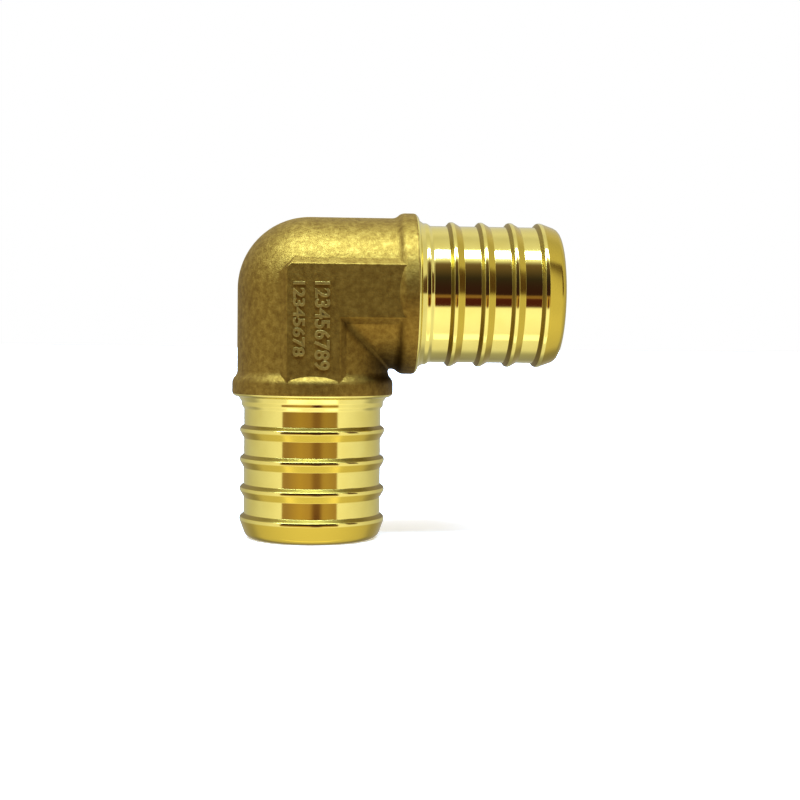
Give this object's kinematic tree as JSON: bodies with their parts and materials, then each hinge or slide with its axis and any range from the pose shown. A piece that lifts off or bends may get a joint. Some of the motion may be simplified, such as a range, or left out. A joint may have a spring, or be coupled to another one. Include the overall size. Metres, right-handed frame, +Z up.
{
  "type": "pex crimp elbow fitting",
  "caption": "Right-angle brass pipe elbow with a barbed spigot on each leg for crimped plastic pipe, a stop collar behind each spigot and a flat pad on each side.",
  "frame": {"origin": "centre of the lower spigot's mouth, on its end face, where the fitting stands", "axes": "+Z up the lower leg's axis towards the corner, +X out along the other leg's axis, the flat pads facing -Y and +Y"},
  "size_m": [0.0514, 0.0254, 0.0514],
  "materials": {
    "brass": "rough as forged on the body and collars, bright as turned on the spigots"
  },
  "bodies": {
    "root": {"elbow": "brass"}
  },
  "joints": []
}
